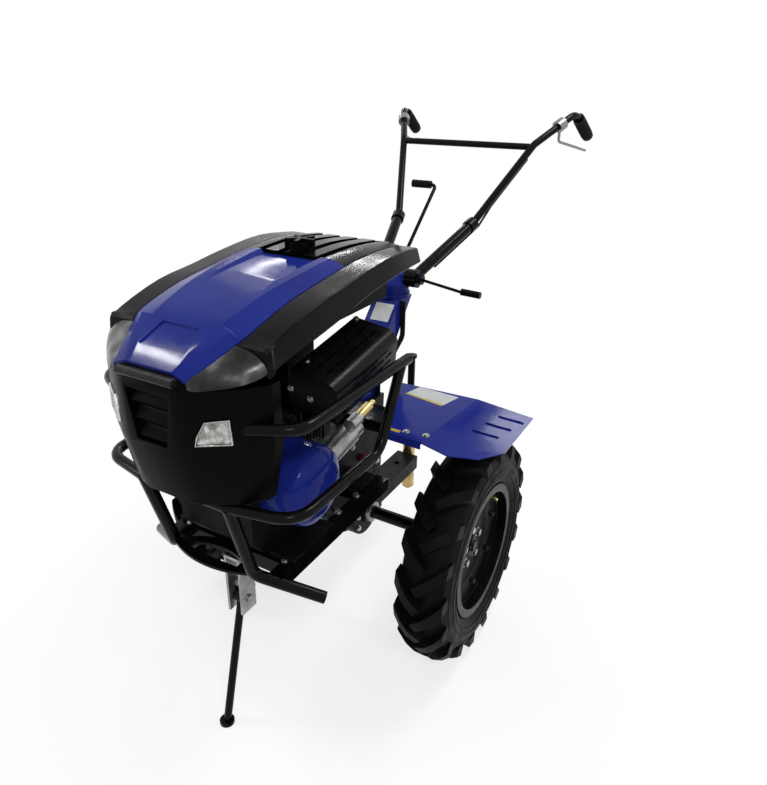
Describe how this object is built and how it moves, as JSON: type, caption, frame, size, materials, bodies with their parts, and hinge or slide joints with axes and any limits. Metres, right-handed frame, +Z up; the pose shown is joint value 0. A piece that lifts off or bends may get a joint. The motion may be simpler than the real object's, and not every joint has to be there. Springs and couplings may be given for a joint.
{
  "type": "walk-behind power tiller",
  "caption": "Walk-behind power tiller with a hooded engine in a tube guard, lugged drive wheels, fenders, a folding front stand and a handlebar that swivels and tilts.",
  "frame": {"origin": "on the ground, in the middle of the machine's length and width", "axes": "+Z up, -Y towards the front (the lamps), +X towards the machine's left"},
  "size_m": [0.8834, 1.584, 1.2917],
  "materials": {
    "paint_blue": "gloss blue paint",
    "plastic_black": "black moulded plastic",
    "tube_black": "gloss black paint on steel",
    "shield_black": "black stove paint on sheet steel",
    "iron_dark": "dark painted casting",
    "rim_dark": "dark paint on pressed steel",
    "metal_silver": "bare light alloy and zinc plate",
    "metal_brass": "brassy plating",
    "brow_grey": "silver-grey moulded plastic",
    "lens_clear": "clear ribbed lens",
    "tyre_black": "black rubber with chevron lugs",
    "grip_black": "soft black rubber"
  },
  "bodies": {
    "chassis": {"gearbox": "iron_dark", "axle_flanges": "metal_silver", "frame_rails": "tube_black", "bumper_tubes": "tube_black", "bumper_plate": "iron_dark", "stand_bracket": "metal_silver", "guard_front": "tube_black", "guard_sides": "tube_black", "guard_uppers": "tube_black", "engine_block": "iron_dark", "finned_cylinder": "metal_silver", "flywheel_shroud": "paint_blue", "starter_motor": "metal_silver", "solenoid": "metal_brass", "muffler": "iron_dark", "muffler_shield": "shield_black", "air_filter": "plastic_black", "belt_guard": "plastic_black", "fuel_tank": "plastic_black", "front_cowl": "plastic_black", "nose_strip": "brow_grey", "lamps": "lens_clear", "brows": "brow_grey", "hood_panel": "paint_blue", "hood_rear": "plastic_black", "hood_shells": "plastic_black", "fuel_cap": "plastic_black", "fender_beam": "tube_black", "fender_left": "paint_blue", "fender_right": "paint_blue", "column": "paint_blue", "hitch_bracket": "iron_dark", "hitch_sleeve": "metal_brass", "column_cables": "grip_black"},
    "wheel_left": {"tyre_left": "tyre_black", "rim_left": "rim_dark", "half_shaft_left": "tube_black"},
    "wheel_right": {"tyre_right": "tyre_black", "rim_right": "rim_dark", "half_shaft_right": "tube_black"},
    "stand": {"stand_leg": "tube_black"},
    "bar_head": {"swivel_head": "paint_blue", "clamp_lever": "plastic_black", "gear_lever": "plastic_black"},
    "handlebar": {"arms": "tube_black", "bars": "tube_black", "crossbar": "tube_black", "grips": "grip_black", "hand_levers": "metal_silver", "bar_cables": "grip_black"},
    "stake": {"drag_stake": "tube_black"}
  },
  "joints": [
    {"name": "wheel_left_spin", "type": "hinge", "parent": "chassis", "child": "wheel_left", "pos_m": [0, -0.14154, 0.29], "axis": [1, 0, 0], "continuous": true},
    {"name": "wheel_right_spin", "type": "hinge", "parent": "chassis", "child": "wheel_right", "pos_m": [0, -0.14154, 0.29], "axis": [1, 0, 0], "continuous": true},
    {"name": "stand_fold", "type": "hinge", "parent": "chassis", "child": "stand", "pos_m": [0, -0.59654, 0.31], "axis": [1, 0, 0], "range_deg": [0, 90]},
    {"name": "bar_swivel", "type": "hinge", "parent": "chassis", "child": "bar_head", "pos_m": [0, 0.08846, 0.846], "axis": [0, 0, 1], "range_deg": [-30, 30]},
    {"name": "bar_tilt", "type": "hinge", "parent": "bar_head", "child": "handlebar", "pos_m": [0, 0.09646, 0.886], "axis": [1, 0, 0], "range_deg": [-20, 25]},
    {"name": "stake_slide", "type": "slide", "parent": "chassis", "child": "stake", "axis": [0, 0, 1], "range_m": [-0.1, 0.1]}
  ]
}
